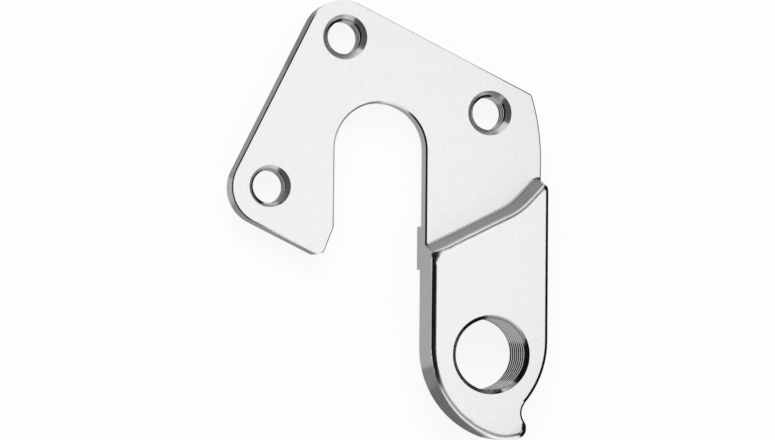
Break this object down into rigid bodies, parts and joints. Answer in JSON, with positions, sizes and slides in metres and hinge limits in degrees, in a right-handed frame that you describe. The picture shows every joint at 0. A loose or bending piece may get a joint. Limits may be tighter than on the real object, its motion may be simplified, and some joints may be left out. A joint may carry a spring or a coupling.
{
  "type": "bicycle derailleur hanger",
  "caption": "Flat forked plate with an open axle slot and frame bolt threads, stepping down to a thick lobe with the derailleur's thread and a hooked stop.",
  "frame": {"origin": "the wheel axle's centre, at the round end of the slot, in the plane of the back face that lies on the frame", "axes": "+Z along the axle, out of the front face; +Y up, away from the slot's mouth; +X towards the lobe's outer side"},
  "size_m": [0.04, 0.0554, 0.0086],
  "materials": {
    "blasted_aluminium": "bead-blasted and clear anodised, satin"
  },
  "bodies": {
    "root": {"hanger": "blasted_aluminium"}
  },
  "joints": []
}
